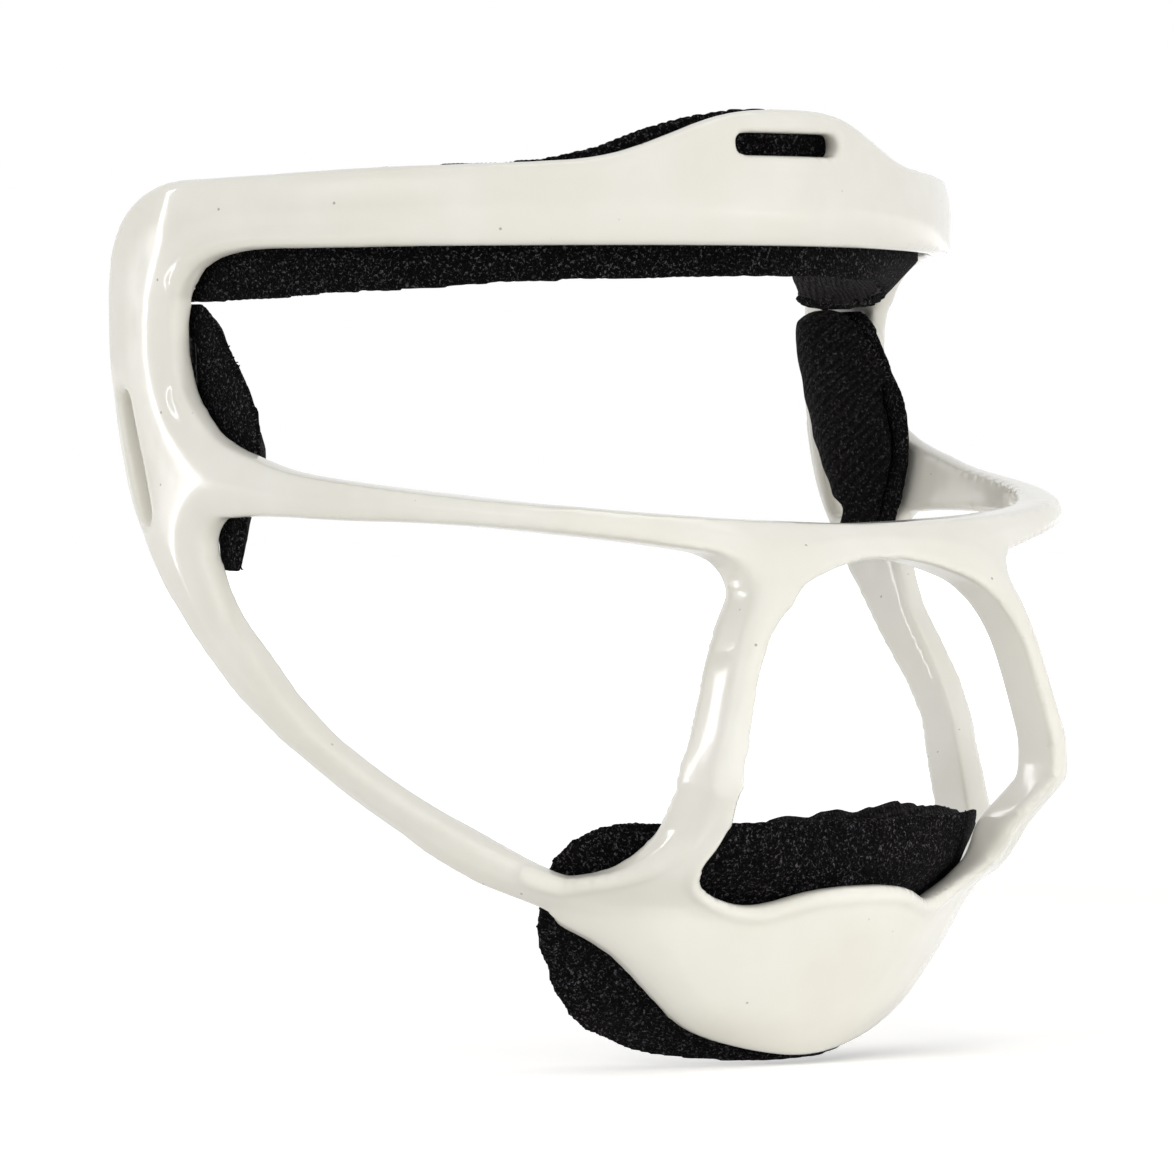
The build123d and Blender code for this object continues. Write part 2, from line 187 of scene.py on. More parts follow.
# Injection-moulded plastic from a polished mould: an even, warm off-white with a hard gloss,
# whose highlights waver a little, and a few dark specks.
def makePlastic():
    look = plasticLook
    material, tree, shader = newMaterial("gloss_plastic")
    place = addNode(tree, "TexCoord").outputs["Object"]
    cloud = addNode(tree, "TexNoise", {"Vector": place, "Scale": look["clouds"], "Detail": 3,
                                       "Roughness": 0.55})
    tone = addNode(tree, "ValToRGB", {"Fac": cloud.outputs["Fac"]},
                   stops=[(0.35, look["shade"]), (0.65, look["colour"])])
    grit = addNode(tree, "TexVoronoi", {"Vector": place, "Scale": look["specks"],
                                        "Randomness": 1})
    core, rim = look["speckEdge"]
    dots = addNode(tree, "MapRange", {"Value": grit.outputs["Distance"], "From Min": core,
                                      "From Max": rim, "To Min": 1, "To Max": 0})
    pick = addNode(tree, "TexNoise", {"Vector": place, "Scale": look["speckPick"], "Detail": 1})
    clean, gritty = look["speckPatch"]
    sparse = addNode(tree, "MapRange", {"Value": pick.outputs["Fac"], "From Min": clean,
                                        "From Max": gritty, "To Min": 0,
                                        "To Max": look["speckMost"]})
    speck = addNode(tree, "Math", {0: dots.outputs["Result"], 1: sparse.outputs["Result"]},
                    operation="MULTIPLY")
    colour = addNode(tree, "Mix", {0: speck.outputs[0], 6: tone.outputs["Color"],
                                   7: linear(look["speck"])}, data_type="RGBA")
    link(tree, colour.outputs[2], shader, "Base Color")
    smear = addNode(tree, "TexNoise", {"Vector": place, "Scale": look["smears"], "Detail": 5,
                                       "Roughness": 0.65})
    smooth, dull = look["roughness"]
    gloss = addNode(tree, "MapRange", {"Value": smear.outputs["Fac"], "From Min": 0.3,
                                       "From Max": 0.75, "To Min": smooth, "To Max": dull})
    link(tree, gloss.outputs["Result"], shader, "Roughness")
    wave = addNode(tree, "TexNoise", {"Vector": place, "Scale": look["waves"], "Detail": 2})
    bump = addNode(tree, "Bump", {"Height": wave.outputs["Fac"],
                                  "Strength": look["waveStrength"],
                                  "Distance": look["waveHeight"]})
    link(tree, bump.outputs["Normal"], shader, "Normal")
    shader.inputs["IOR"].default_value = 1.5
    shader.inputs["Coat Weight"].default_value = 0.3
    shader.inputs["Coat Roughness"].default_value = 0.05
    return material


knitLook = {
    "paintedShade": "#030303",       # painted shade between the ribs and the loops
    "colour": "#121011",
    "worn": "#1B191A",
    "glint": "#5C575A",        # painted glint of fibres that catch the light
    "stitch": 0.0008,          # a knitted loop, drawn coarser than the real one to show
    "fibre": 1500,             # fuzz of about 0.7 mm, far coarser than a fibre, to show
    "rib": 0.0018,             # spacing of the diagonal ribs
    "ribTurn": (math.radians(48), math.radians(14), 0),
    "waveLength": 0.314,       # spacing of the wave texture's bands at scale 1
    "sways": 60,               # the ribs wander over about 17 mm
    "sway": 0.004,
    "patches": 45,             # worn patches of about 22 mm
    "sheen": "#8C8488",
    "depth": 0.0005,           # of the relief, in which the ribs, loops and fuzz have shares
    "ribShare": 0.6,
    "loopShare": 0.9,
    "fuzzShare": 0.35,
}


# Ribbed polyester knit stretched over foam: a dull black that fine diagonal ribs and small
# loops break up, with painted shade in the hollows between them, a soft sheen and a painted
# glint of single fibres.
def makeKnit():
    look = knitLook
    material, tree, shader = newMaterial("knit_fabric")
    place = addNode(tree, "TexCoord").outputs["Object"]
    wander = addNode(tree, "TexNoise", {"Vector": place, "Scale": look["sways"], "Detail": 2})
    small = addNode(tree, "VectorMath", {0: wander.outputs["Color"], "Scale": look["sway"]},
                    operation="SCALE")
    bent = addNode(tree, "VectorMath", {0: place, 1: small.outputs[0]}, operation="ADD")
    turned = addNode(tree, "Mapping", {"Vector": bent.outputs[0], "Rotation": look["ribTurn"]})
    ribs = addNode(tree, "TexWave", {"Vector": turned.outputs[0], "Detail": 2,
                                     "Scale": look["waveLength"] / look["rib"],
                                     "Distortion": 1.2, "Detail Scale": 1.5},
                   bands_direction="Z")
    loops = addNode(tree, "TexVoronoi", {"Vector": place, "Scale": 1 / look["stitch"],
                                         "Randomness": 0.65})
    fuzz = addNode(tree, "TexNoise", {"Vector": place, "Scale": look["fibre"], "Detail": 4,
                                      "Roughness": 0.7})
    wear = addNode(tree, "TexNoise", {"Vector": place, "Scale": look["patches"], "Detail": 3})
    base = addNode(tree, "ValToRGB", {"Fac": wear.outputs["Fac"]},
                   stops=[(0.4, look["colour"]), (0.7, look["worn"])])
    # painted shade: the colour darkens in the hollows between the loops and the ribs
    between = addNode(tree, "Math", {0: loops.outputs["Distance"], 1: 0.45}, operation="ADD")
    valley = addNode(tree, "Math", {0: between.outputs[0], 1: ribs.outputs["Fac"]},
                     operation="SUBTRACT")
    paintedShade = addNode(tree, "MapRange", {"Value": valley.outputs[0], "From Min": -0.1,
                                        "From Max": 0.5, "To Min": 0, "To Max": 0.9})
    withPaintedShade = addNode(tree, "Mix", {0: paintedShade.outputs["Result"], 6: base.outputs["Color"],
                                 7: linear(look["paintedShade"])}, data_type="RGBA")
    # painted glint: the fibres turn lighter where the fuzz is high
    spark = addNode(tree, "MapRange", {"Value": fuzz.outputs["Fac"], "From Min": 0.55,
                                       "From Max": 0.72, "To Min": 0, "To Max": 0.8})
    colour = addNode(tree, "Mix", {0: spark.outputs["Result"], 6: withPaintedShade.outputs[2],
                                   7: linear(look["glint"])}, data_type="RGBA")
    link(tree, colour.outputs[2], shader, "Base Color")
    raised = addNode(tree, "Math", {0: ribs.outputs["Fac"], 1: look["ribShare"]},
                     operation="MULTIPLY")
    sunk = addNode(tree, "Math", {0: loops.outputs["Distance"], 1: look["loopShare"]},
                   operation="MULTIPLY")
    loose = addNode(tree, "Math", {0: fuzz.outputs["Fac"], 1: look["fuzzShare"]},
                    operation="MULTIPLY")
    knitted = addNode(tree, "Math", {0: raised.outputs[0], 1: sunk.outputs[0]},
                      operation="SUBTRACT")
    relief = addNode(tree, "Math", {0: knitted.outputs[0], 1: loose.outputs[0]},
                     operation="ADD")
    bump = addNode(tree, "Bump", {"Height": relief.outputs[0], "Strength": 1,
                                  "Distance": look["depth"]})
    link(tree, bump.outputs["Normal"], shader, "Normal")
    shader.inputs["Roughness"].default_value = 0.88
    shader.inputs["Specular IOR Level"].default_value = 0.1
    shader.inputs["Sheen Weight"].default_value = 0.09
    shader.inputs["Sheen Roughness"].default_value = 0.4
    shader.inputs["Sheen Tint"].default_value = linear(look["sheen"])
    return material


loopLook = {
    "colour": "#040404",       # between the tufts
    "tuftColour": "#131213",
    # painted glint of fibres that stand up to the light
    "fibre": "#605C61",
    "tuft": 0.00055,           # a tuft of the pile, whose fibres are too fine to show
    "patches": 120,            # brushed patches of about 8 mm
    "patchShift": 0.012,
    "sheen": "#8A878C",
    "depth": 0.0006,           # of the relief, in which the pile and its tufts have shares
    "pileShare": 1.2,
    "tuftShare": 0.6,
}


# Brushed nylon loop fabric that the hooks hold: a matt black pile, speckled with a painted glint
# where fibres stand up to the light.
def makeLoop():
    look = loopLook
    material, tree, shader = newMaterial("loop_fabric")
    place = addNode(tree, "TexCoord").outputs["Object"]
    pile = addNode(tree, "TexNoise", {"Vector": place, "Scale": 1 / look["tuft"], "Detail": 2,
                                      "Roughness": 0.6, "Distortion": 0.8})
    tufts = addNode(tree, "TexVoronoi", {"Vector": place, "Scale": 1 / look["tuft"],
                                         "Randomness": 1})
    patch = addNode(tree, "TexNoise", {"Vector": place, "Scale": look["patches"], "Detail": 3})
    lift = addNode(tree, "MapRange", {"Value": patch.outputs["Fac"], "From Min": 0.35,
                                      "From Max": 0.7, "To Min": -look["patchShift"],
                                      "To Max": look["patchShift"]})
    mixed = addNode(tree, "Math", {0: pile.outputs["Fac"], 1: lift.outputs["Result"]},
                    operation="ADD")
    # the lightest stop is painted glint on the pile
    colour = addNode(tree, "ValToRGB", {"Fac": mixed.outputs[0]},
                     stops=[(0.48, look["colour"]), (0.57, look["tuftColour"]),
                            (0.71, look["fibre"])])
    link(tree, colour.outputs["Color"], shader, "Base Color")
    raised = addNode(tree, "Math", {0: pile.outputs["Fac"], 1: look["pileShare"]},
                     operation="MULTIPLY")
    sunk = addNode(tree, "Math", {0: tufts.outputs["Distance"], 1: look["tuftShare"]},
                   operation="MULTIPLY")
    relief = addNode(tree, "Math", {0: raised.outputs[0], 1: sunk.outputs[0]},
                     operation="SUBTRACT")
    bump = addNode(tree, "Bump", {"Height": relief.outputs[0], "Strength": 1,
                                  "Distance": look["depth"]})
    link(tree, bump.outputs["Normal"], shader, "Normal")
    shader.inputs["Roughness"].default_value = 0.95
    shader.inputs["Specular IOR Level"].default_value = 0.08
    shader.inputs["Sheen Weight"].default_value = 0.03
    shader.inputs["Sheen Roughness"].default_value = 0.5
    shader.inputs["Sheen Tint"].default_value = linear(look["sheen"])
    return material


hookLook = {
    "colour": "#0D0D0E",
    # painted highlight on the hook tips
    "tip": "#4C4C50",
    "pitch": 0.0014,           # spacing of the hooks
    "depth": 0.0009,
}


# Moulded nylon hook tape: dark, with rows of small tips whose shine is painted in a lighter
# colour.
def makeHook():
    look = hookLook
    material, tree, shader = newMaterial("hook_tape")
    place = addNode(tree, "TexCoord").outputs["Object"]
    tips = addNode(tree, "TexVoronoi", {"Vector": place, "Scale": 1 / look["pitch"],
                                        "Randomness": 0.25})
    # painted highlight: lighter colour at each hook's tip
    colour = addNode(tree, "ValToRGB", {"Fac": tips.outputs["Distance"]},
                     stops=[(0.16, look["tip"]), (0.34, look["colour"])])
    link(tree, colour.outputs["Color"], shader, "Base Color")
    high = addNode(tree, "Math", {0: 1, 1: tips.outputs["Distance"]}, operation="SUBTRACT")
    bump = addNode(tree, "Bump", {"Height": high.outputs[0], "Strength": 1,
                                  "Distance": look["depth"]})
    link(tree, bump.outputs["Normal"], shader, "Normal")
    shader.inputs["Roughness"].default_value = 0.42
    return material


threadLook = {
    "colour": "#3A383B",
    "shade": "#0C0C0D",        # painted shade between the strands
    "twist": 2600,             # strands of about 0.4 mm
    "depth": 0.0001,
}


# Twisted polyester sewing thread: dark grey with a slight shine, with painted shade between its
# strands.
def makeThread():
    look = threadLook
    material, tree, shader = newMaterial("dark_thread")
    place = addNode(tree, "TexCoord").outputs["Object"]
    twist = addNode(tree, "TexNoise", {"Vector": place, "Scale": look["twist"], "Detail": 2})
    # painted shade: darker where the twist noise is high
    colour = addNode(tree, "Mix", {0: twist.outputs["Fac"], 6: linear(look["colour"]),
                                   7: linear(look["shade"])}, data_type="RGBA")
    link(tree, colour.outputs[2], shader, "Base Color")
    bump = addNode(tree, "Bump", {"Height": twist.outputs["Fac"], "Strength": 0.6,
                                  "Distance": look["depth"]})
    link(tree, bump.outputs["Normal"], shader, "Normal")
    shader.inputs["Roughness"].default_value = 0.55
    return material


plastic = makePlastic()
knit = makeKnit()
loopPile = makeLoop()
hookTape = makeHook()
darkThread = makeThread()
print("materials made")


frameShape = {
    "voxel": 0.0005,           # grid that the moulding is rebuilt on
    "triangles": 190000,       # kept in the finished moulding
    "sharp": math.radians(38),  # faces that meet at more than this make an edge
    "edgeStep": 0.00015,       # spacing of the samples along the edges
    "facePasses": 110,         # evens out the faces away from the edges
    "edgePasses": 22,          # rounds the cut edges
    "bowPasses": 11,           # evens out the bowed faces
    "tipPasses": 30,           # rounds the tips of the cheek bar further
    "thinPasses": 5,           # evens out the thinned mesh
    "keepEdge": 0.0014,        # how near an edge a face stays as it is
    "fullSoften": 0.005,       # how far from an edge it is evened out in full
    "swell": 0.00035,          # given back for what the rounding takes
    "crown": 0.0012,           # how far the outer faces bow between their edges
    "crownReach": 0.009,       # how far from an edge the bow ends
    "crownOut": 0.75,          # share of the bow that stands out from the CAD face
    "lipWidth": 0.0015,        # half the width of a raised lip
    "chinLip": {               # raised lip round the mouth and cheek windows
        "rise": 0.0011,
        "between": (-0.0925, -0.060),         # its edge's lowest and highest place
        "across": 0.044,       # how far to each side its edge reaches
        "acrossHigh": 0.058,   # and how far where it is higher than "high"
        "high": -0.085,
        "from": -0.064,        # the lip begins here and grows downwards
        "fade": 0.014,
    },
    "eyeLip": {                # raised lip of the eye window, beside the uprights
        "rise": 0.0008,
        "between": (0.0, 0.042),
        "across": 0.060,
        "ahead": -0.004,
        "from": (0.064, 0.001),               # it grows outwards and upwards from here
        "fade": (0.010, 0.006),
    },
    "barTip": {                # flared tips of the cheek bar
        "from": (0.038, -0.080, -0.046),
        "fade": 0.008,
    },
    # each webbing slot's direction, middle, length and lean in degrees
    "slots": [("x", (0, 0.0122, -0.0038), 0.028, 17.5), ("y", (0, 0, 0.0574), 0.026, 90)],
    "slotFront": -0.06,        # the band's slot lies ahead of this
    "slotReach": 0.0035,       # a rim's points are this near the slot's middle line
}


def inSlot(place):  # true on the rim of a webbing slot
    for axis, middle, length, lean in frameShape["slots"]:
        way = Vector((math.sin(math.radians(lean)), math.cos(math.radians(lean))))
        if axis == "x":
            flat = Vector((place.y - middle[1], place.z - middle[2]))
        elif place.y < frameShape["slotFront"]:
            flat = Vector((place.x, place.z - middle[2]))
        else:
            continue
        run = min(max(flat.dot(way), -length / 2), length / 2)
        if (flat - way * run).length < frameShape["slotReach"]:
            return True
    return False


def onChinLip(place):  # true on the window edges above the chin
    lip = frameShape["chinLip"]
    low, high = lip["between"]
    across = lip["acrossHigh"] if place.z > lip["high"] else lip["across"]
    return low < place.z < high and abs(place.x) < across


def onEyeLip(place):  # true on the eye window's edge beside the uprights
    lip = frameShape["eyeLip"]
    low, high = lip["between"]
    beside = abs(place.x) > lip["across"] and place.y < lip["ahead"]
    return beside and low < place.z < high


def tipShare(place):  # 1 at the flared tips of the cheek bar, 0 elsewhere
    tip = frameShape["barTip"]
    across, ahead, height = tip["from"]
    outward = clamp((abs(place.x) - across) / tip["fade"])
    forward = clamp((ahead - place.y) / tip["fade"])
    return outward * forward * clamp((place.z - height) / tip["fade"])


def edgePoints(mesh):  # close points along the sharp edges
    points = []
    for edge in mesh.edges:
        if len(edge.link_faces) == 2 and edge.calc_face_angle(0) > frameShape["sharp"]:
            first, last = edge.verts[0].co, edge.verts[1].co
            count = max(1, int((last - first).length / frameShape["edgeStep"]))
            points += [first.lerp(last, step / count) for step in range(count + 1)]
    return points


def nearestOf(points):
    samples = KDTree(len(points))
    for index, point in enumerate(points):
        samples.insert(point, index)
    samples.balance()
    return samples


def crestAt(samples, place):  # 1 on the crest of a lip, which lies beside its edge
    away = (samples.find(place)[2] - frameShape["lipWidth"]) / frameShape["lipWidth"]
    return math.exp(-away * away)


def makeFrame():
    shape = frameShape
    mesh = mergedMesh("face_frame")
    points = edgePoints(mesh)
    samples = nearestOf(points)
    rims = nearestOf([point for point in points if not inSlot(point)])
    chinEdges = nearestOf([point for point in points if onChinLip(point)])
    eyeEdges = nearestOf([point for point in points if onEyeLip(point)])
    moulding = newPiece("frame_moulding", mesh)
    rebuild(moulding, shape["voxel"])
    reach = shape["fullSoften"] - shape["keepEdge"]
    soften(moulding, shape["facePasses"],
           [clamp((samples.find(vertex.co)[2] - shape["keepEdge"]) / reach)
            for vertex in moulding.data.vertices])
    soften(moulding, shape["edgePasses"])

    def bow(place, normal):
        outward = Vector((place.x, min(place.y, 0), 0)).normalized()
        facing = clamp(normal.dot(outward) * 2 - 0.5)  # 1 on the faces that look outward
        part = min(rims.find(place)[2] / shape["crownReach"], 1)
        lip = shape["chinLip"]
        low = clamp((lip["from"] - place.z) / lip["fade"])
        raised = lip["rise"] * crestAt(chinEdges, place) * low * low * (3 - 2 * low)
        lip = shape["eyeLip"]
        beside = clamp((abs(place.x) - lip["from"][0]) / lip["fade"][0])
        high = clamp((place.z - lip["from"][1]) / lip["fade"][1])
        raised += lip["rise"] * crestAt(eyeEdges, place) * beside * high
        crown = shape["crown"] * (shape["crownOut"] - (1 - part) ** 2)
        return shape["swell"] + facing * (raised + crown)
    pushOut(moulding, bow)
    soften(moulding, shape["bowPasses"])
    soften(moulding, shape["tipPasses"],
           [tipShare(vertex.co) for vertex in moulding.data.vertices])
    thin = moulding.modifiers.new("thin", "DECIMATE")
    thin.ratio = shape["triangles"] / (2 * len(moulding.data.polygons))
    bake(moulding)
    soften(moulding, shape["thinPasses"])
    print("frame moulding", len(moulding.data.polygons), "faces")
    finishPiece(moulding, "frame", "frame_plastic", plastic, "face_frame")


makeFrame()


padShape = {
    "voxel": 0.002,            # grid that a cover is rebuilt on
    "shrink": 0.0005,          # start size, so that the pressure fills the CAD shape
    "pressure": 4,
    "frames": 20,
    "most": 0.0022,            # furthest that a point may move
    "seamHold": 0.0009,        # the cover is held this near the loop layer
    "rippleFrom": 0.0008,      # the cover's ripples start this far from the loop layer
    "rippleFade": 0.003,       # and are full this much further off
    "freeFrom": 0.001,         # the same for where the knit is free of the loop layer
    "freeFade": 0.004,
    "lowFade": 0.008,          # the height in which an edge's shaping takes hold
    "topFade": 0.007,
    "topHold": 4,              # an upper edge is shaped in full where free is a quarter
    "loopVoxel": 0.0006,
    "loopPasses": 5,
    "nap": 0.00012,            # unevenness of the loop layer
    "napWave": 0.0045,
}
pads = {                       # ripple and wave are the height and length of its ripples
    "forehead_pad": {
        "ripple": 0.0006, "wave": 0.011, "fill": 0.75,
        "roll": {              # the lower edge is rolled in at one end
            "from": 0.030, "full": 0.052,         # place across
            "below": 0.0362, "slope": 0.95, "most": 0.0064,  # how far the loops drop back
            "swellBelow": 0.046, "swellFade": 0.012, "swell": 0.0047,  # the knit's bulge
            "tuckBelow": 0.031, "tuck": 0.45,     # and how it draws in again underneath
            "way": (-0.7, 0.7, 0),
        },
        # how far the lower edge rises, by place across
        "lowLine": [(-0.075, 0), (-0.062, -0.0006), (-0.03, -0.0008), (-0.018, 0),
                    (-0.006, 0.0005), (0.01, 0.0006), (0.03, 0)], "lowFrom": 0.036,
    },
    "chin_pad": {
        "ripple": 0.0006, "wave": 0.010, "fill": 0.7,
        # how far the knit stands up behind the loop layer, by place across
        "topLine": [(-0.064, 0), (-0.060, 0.0016), (-0.055, 0.0034), (-0.051, 0.0031),
                    (-0.047, 0.0021), (-0.041, 0.0021), (-0.032, 0.0014), (-0.0225, 0.0003),
                    (-0.0185, 0.0016), (-0.0115, 0.0026), (-0.0072, 0.0018), (-0.0035, 0.0029),
                    (0.0003, 0.0033), (0.004, 0.0028), (0.0085, 0.0040), (0.0152, 0.0048),
                    (0.019, 0.0046), (0.0228, 0.0035), (0.0265, 0.0033), (0.036, 0.0026),
                    (0.05, 0)], "topFrom": -0.082,
        "lowLine": [(-0.062, 0), (-0.052, -0.0018), (-0.040, -0.0022), (-0.030, -0.0008),
                    (-0.020, 0)], "lowFrom": -0.103,
    },
    "left_temple_pad": {
        "ripple": 0.0003, "wave": 0.009, "fill": 0.7,
        # how far the filled cover stands out along lean, by height
        "lean": (-0.8, 0.6, 0),
        "standOut": [(-0.022, 0.009), (-0.0145, 0.0042), (-0.008, 0.003), (-0.002, 0.0023),
                     (0.007, 0.0019), (0.013, 0.001), (0.019, 0.001), (0.0245, 0.002)],
        "lowLine": [(0.06, 0.0014), (0.1, 0.0014)], "lowFrom": -0.010,
        "topLine": [(0.06, 0.0009), (0.1, 0.0009)], "topFrom": 0.016,
    },
    "right_temple_pad": {
        "ripple": 0.0003, "wave": 0.009, "fill": 0.7,
        "lean": (0.8, -0.6, 0),
        "standOut": [(-0.018, 0), (-0.010, 0.0006), (-0.0023, 0.0011), (0.0007, 0.0006),
                     (0.0037, -0.0006), (0.0067, -0.0013), (0.0098, -0.0017), (0.0128, -0.0013),
                     (0.0158, -0.0006), (0.022, 0)],
    },
}


def along(line, place):  # value at a place on a line of (place, value) points
    if place <= line[0][0]:
        return line[0][1]
    for (first, low), (last, high) in zip(line, line[1:]):
        if place <= last:
            part = (place - first) / (last - first)
            return low + (high - low) * part * part * (3 - 2 * part)
    return line[-1][1]


def rolledBy(roll, place, free):
    share = clamp((place.x - roll["from"]) / (roll["full"] - roll["from"]))
    drop = min(max(roll["below"] - place.z, 0) * roll["slope"], roll["most"])
    swollen = clamp((roll["swellBelow"] - place.z) / roll["swellFade"])
    bulge = roll["swell"] * swollen - max(roll["tuckBelow"] - place.z, 0) * roll["tuck"]
    return Vector(roll["way"]) * share * (drop * (1 - free) + bulge * free)


def shapeEdges(pad, place, free):  # where a point of the pad lies in use; free is 0 at the loops
    look = pads[pad]
    moved = place.copy()
    if "roll" in look:
        moved += rolledBy(look["roll"], place, free)
    if "lowLine" in look:
        share = clamp((look["lowFrom"] - place.z) / padShape["lowFade"])
        moved.z += along(look["lowLine"], place.x) * share
    if "topLine" in look and free:
        share = clamp((place.z - look["topFrom"]) / padShape["topFade"])
        held = min(free * padShape["topHold"], 1)
        moved.z += along(look["topLine"], place.x) * share * held
    if "standOut" in look:
        moved += Vector(look["lean"]) * along(look["standOut"], place.z) * free
    return moved


def startCover(pad):
    cover = newPiece(pad + "_knit_cover", mergedMesh(pad + "_cover", pad + "_foam_core"))
    rebuild(cover, padShape["voxel"])
    backing = treeOf(pad + "_loop_backing")

    def atSeam(place):
        return backing.find_nearest(place)[3] < padShape["seamHold"]
    held = [float(atSeam(vertex.co)) for vertex in cover.data.vertices]
    pushOut(cover, lambda place, normal: 0 if atSeam(place) else -padShape["shrink"])
    weightGroup(cover, "held", held)
    cloth = cover.modifiers.new("cloth", "CLOTH")
    cloth.settings.quality = 6
    cloth.settings.use_pressure = True
    cloth.settings.uniform_pressure_force = padShape["pressure"]
    cloth.settings.effector_weights.gravity = 0
    cloth.settings.vertex_group_mass = "held"
    cloth.settings.tension_stiffness = 25
    cloth.settings.compression_stiffness = 25
    cloth.settings.bending_stiffness = 0.6
    cloth.point_cache.frame_start = 1
    cloth.point_cache.frame_end = padShape["frames"]
    return cover


def fillCovers(covers):
    starts = {pad: [v.co.copy() for v in cover.data.vertices] for pad, cover in covers.items()}
    for step in range(1, padShape["frames"] + 1):
        scene.frame_set(step)
    for pad, cover in covers.items():
        bake(cover)
        for vertex, start in zip(cover.data.vertices, starts[pad]):
            move = vertex.co - start
            if move.length > padShape["most"]:
                vertex.co = start + move * (padShape["most"] / move.length)
    scene.frame_set(1)


def finishCover(pad, cover):
    finer = cover.modifiers.new("finer", "SUBSURF")
    finer.levels = finer.render_levels = 1
    bake(cover)
    backing = treeOf(pad + "_loop_backing")
    look = pads[pad]

    def freeAt(place, begins, fade):  # 0 at the loop layer, 1 away from it
        return clamp((backing.find_nearest(place)[3] - begins) / fade)

    def ripple(place, normal):
        free = freeAt(place, padShape["rippleFrom"], padShape["rippleFade"])
        return look["ripple"] * noise.noise(place / look["wave"]) * free
    pushOut(cover, ripple)
    for vertex in cover.data.vertices:
        free = freeAt(vertex.co, padShape["freeFrom"], padShape["freeFade"])
        vertex.co = shapeEdges(pad, vertex.co, free)
    finishPiece(cover, pad, "cover_fabric", knit, pad + "_cover", pad + "_foam_core")
    print(pad, "cover", len(cover.data.polygons), "faces")


def makeLoopLayer(pad):
    layer = newPiece(pad + "_loop_layer", mergedMesh(pad + "_loop_backing"))
    rebuild(layer, padShape["loopVoxel"])
    soften(layer, padShape["loopPasses"])
    nap = padShape["nap"]
    pushOut(layer, lambda place, normal: nap + nap * noise.noise(place / padShape["napWave"]))
    for vertex in layer.data.vertices:
        vertex.co = shapeEdges(pad, vertex.co, 0)
    print(pad, "loop layer", len(layer.data.polygons), "faces")
    finishPiece(layer, pad, "loop_fabric", loopPile, pad + "_loop_backing")


stitching = {
    "spacing": 0.0013,
    "length": 0.0010,
    "reach": 0.0019,           # a stitch further off than this is left out
    "radius": 0.00013,
    "sides": 6,
    "lift": 0.00004,           # how far a stitch lies above the knit
    "slant": 0.7,
    "touch": 0.0002,           # the seam is where the cover is nearer than this
    "fold": math.radians(50),  # and the loop layer turns by more than this
}


def seamLine(pad):  # closed line where the knit cover meets the loop layer
    mesh = mergedMesh(pad + "_loop_backing")
    cover = treeOf(pad + "_cover")
    mesh.verts.ensure_lookup_table()
    onCover = [cover.find_nearest(vertex.co)[3] < stitching["touch"] for vertex in mesh.verts]
    nextTo = {}
    for edge in mesh.edges:
        first, last = (vertex.index for vertex in edge.verts)
        if edge.calc_face_angle(0) > stitching["fold"] and onCover[first] and onCover[last]:
            nextTo.setdefault(first, []).append(last)
            nextTo.setdefault(last, []).append(first)
    start = min(nextTo)
    line, here, before = [start], start, None
    while True:
        onward = [index for index in nextTo[here] if index != before and index not in line[1:]]
        if not onward or onward[0] == start:
            break
        before, here = here, onward[0]
        line.append(here)
    places = [mesh.verts[index].co.copy() for index in line]
    mesh.free()
    return places


def evenly(places, spacing):  # points along a closed line, with the way that it runs
    run = []
    left = 0
    for first, last in zip(places, places[1:] + places[:1]):
        length = (last - first).length
        while left < length:
            run.append((first.lerp(last, left / length), (last - first) / length))
            left += spacing
        left -= length
    return run


def makeStitches(pad, cover):
    surface = BVHTree.FromPolygons([v.co for v in cover.data.vertices],
                                   [p.vertices for p in cover.data.polygons])
    mesh = bmesh.new()
    for index, (place, way) in enumerate(evenly(seamLine(pad), stitching["spacing"])):
        spot, normal, _, off = surface.find_nearest(shapeEdges(pad, place, 0))
        if off > stitching["reach"]:
            continue
        slant = stitching["slant"] if index % 2 else -stitching["slant"]
        lie = (way.cross(normal) + way * slant).normalized()
        turn = lie.to_track_quat("Z", "X").to_matrix().to_4x4()
        lay = Matrix.Translation(spot + normal * stitching["lift"]) @ turn
        bmesh.ops.create_cone(mesh, cap_ends=True, segments=stitching["sides"],
                              radius1=stitching["radius"], radius2=stitching["radius"],
                              depth=stitching["length"], matrix=lay)
    thread = newPiece(pad + "_overlock_thread", mesh)
    print(pad, "thread", len(thread.data.polygons), "faces")
    finishPiece(thread, pad, None, darkThread)


covers = {pad: startCover(pad) for pad in pads}
fillCovers(covers)
for pad, cover in covers.items():
    finishCover(pad, cover)
    makeLoopLayer(pad)
    makeStitches(pad, cover)


for name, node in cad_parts.items():
    if "_hook_" in name:
        node.data.materials.clear()
        node.data.materials.append(hookTape)
print("hook patches dressed")


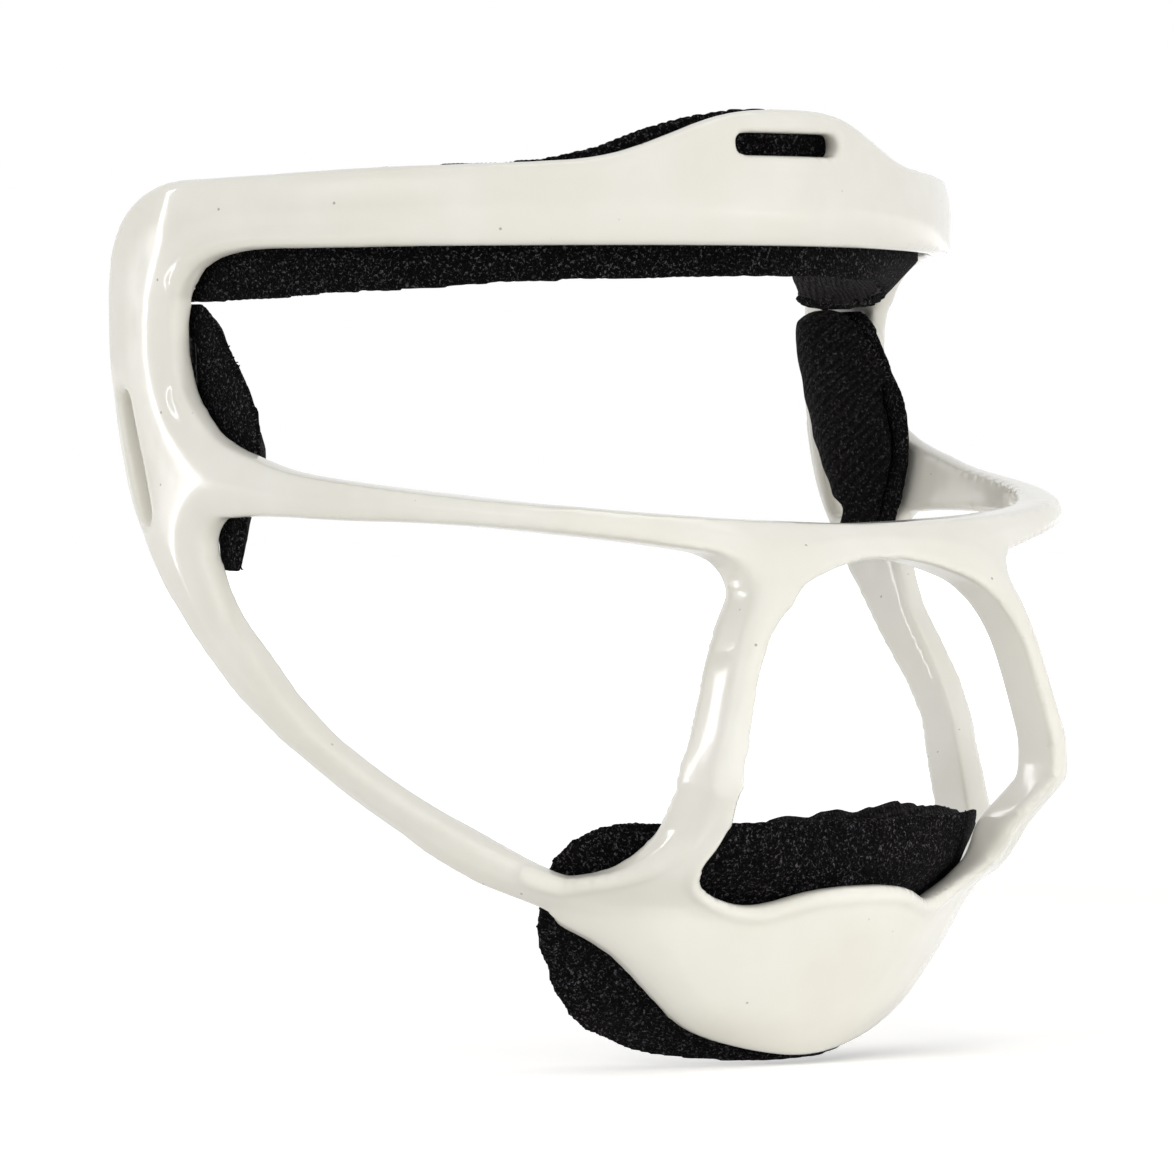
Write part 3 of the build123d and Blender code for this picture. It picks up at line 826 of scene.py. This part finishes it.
studio = {
    "ambient": 0.46,
    "floorColour": "#F2F1EF",
    "floorTint": "#F5F4F2",
    "floorDrop": 0.0005,       # below the lowest CAD point
    "floorSize": 4,
    "floorLift": 0.42,         # added where the floor is seen, so that it reads white
    "floorFade": (0.5, 2.2),   # the lift grows to 1 between these distances
    "aim": Vector((0, -0.0163, -0.030)),
    "turn": math.radians(-37),
    "rise": math.radians(1.3),
    "distance": 1.5,
    "lens": 227.4,
    "sensor": 36,
    "lowAim": Vector((0, -0.1, -0.1)),
    "lowSpread": math.radians(30),
    "lamps": {                 # place, width, height, watts
        "key": ((-1.2, -0.45, 0.5), 0.9, 0.42, 3.7),
        "gleam": ((-1.2, -0.45, 0.5), 0.7, 0.1, 1.3),
        "top": ((0.1, -0.2, 1.25), 0.8, 0.5, 2.0),
        "side": ((-0.8, 0.95, 0.2), 0.09, 0.7, 1.25),
        "fill": ((0.6, -1.4, 0.04), 1.0, 0.28, 6.9),
        "low": ((0.05, -0.75, -0.05), 0.3, 0.08, 0.03),
    },
    "unmirrored": ("key", "fill", "low"),     # these light the part but don't show in its gloss
}


def seenRays(tree):  # 1 for rays that show the background
    path = addNode(tree, "LightPath")
    seen = addNode(tree, "Math", {0: path.outputs["Is Camera Ray"],
                                  1: path.outputs["Is Glossy Ray"]}, operation="MAXIMUM")
    through = addNode(tree, "Math", {0: seen.outputs[0],
                                     1: path.outputs["Is Transmission Ray"]},
                      operation="MAXIMUM")
    return through.outputs[0]


def makeSky():
    world = bpy.data.worlds.new("studio")
    world.use_nodes = True
    scene.world = world
    tree = world.node_tree
    strength = addNode(tree, "MapRange", {"Value": seenRays(tree),
                                          "To Min": studio["ambient"], "To Max": 1})
    sky = tree.nodes["Background"]
    sky.inputs["Color"].default_value = (1, 1, 1, 1)
    link(tree, strength.outputs["Result"], sky, "Strength")


def makeFloor():
    mesh = bmesh.new()
    bmesh.ops.create_grid(mesh, x_segments=2, y_segments=2, size=studio["floorSize"])
    bmesh.ops.translate(mesh, verts=mesh.verts, vec=(0, 0, cadLow.z - studio["floorDrop"]))
    floor = newPiece("floor", mesh)
    material, tree, shader = newMaterial("studio_floor")
    place = addNode(tree, "TexCoord").outputs["Object"]
    grain = addNode(tree, "TexNoise", {"Vector": place, "Scale": 6, "Detail": 2})
    tone = addNode(tree, "ValToRGB", {"Fac": grain.outputs["Fac"]},
                   stops=[(0.3, studio["floorColour"]), (0.7, studio["floorTint"])])
    link(tree, tone.outputs["Color"], shader, "Base Color")
    shader.inputs["Roughness"].default_value = 0.9
    shader.inputs["Emission Color"].default_value = (1, 1, 1, 1)
    away = addNode(tree, "VectorMath", {0: place}, operation="LENGTH")
    near, far = studio["floorFade"]
    grow = addNode(tree, "MapRange", {"Value": away.outputs["Value"], "From Min": near,
                                      "From Max": far, "To Min": studio["floorLift"],
                                      "To Max": 1})
    lift = addNode(tree, "Math", {0: seenRays(tree), 1: grow.outputs["Result"]},
                   operation="MULTIPLY")
    link(tree, lift.outputs[0], shader, "Emission Strength")
    floor.data.materials.append(material)


def makeLamps():
    for name, (place, width, height, watts) in studio["lamps"].items():
        lamp = bpy.data.lights.new(name, "AREA")
        lamp.shape = "RECTANGLE"
        lamp.size, lamp.size_y, lamp.energy = width, height, watts
        stand = bpy.data.objects.new(name, lamp)
        stand.location = place
        aim = studio["aim"]
        if name == "low":      # reaches the chin guard and little else
            aim = studio["lowAim"]
            lamp.spread = studio["lowSpread"]
        stand.rotation_euler = (aim - Vector(place)).to_track_quat("-Z", "Y").to_euler()
        stand.visible_camera = False
        stand.visible_glossy = name not in studio["unmirrored"]
        scene.collection.objects.link(stand)


def makeCamera():
    turn, rise = studio["turn"], studio["rise"]
    back = Vector((math.sin(turn) * math.cos(rise), -math.cos(turn) * math.cos(rise),
                   math.sin(rise)))
    lens = bpy.data.cameras.new("camera")
    lens.lens, lens.sensor_width = studio["lens"], studio["sensor"]
    camera = bpy.data.objects.new("camera", lens)
    camera.location = studio["aim"] + back * studio["distance"]
    camera.rotation_euler = (-back).to_track_quat("-Z", "Y").to_euler()
    scene.collection.objects.link(camera)
    scene.camera = camera


makeSky()
makeFloor()
makeLamps()
makeCamera()
scene.view_settings.view_transform = "Standard"
print("scene ready")
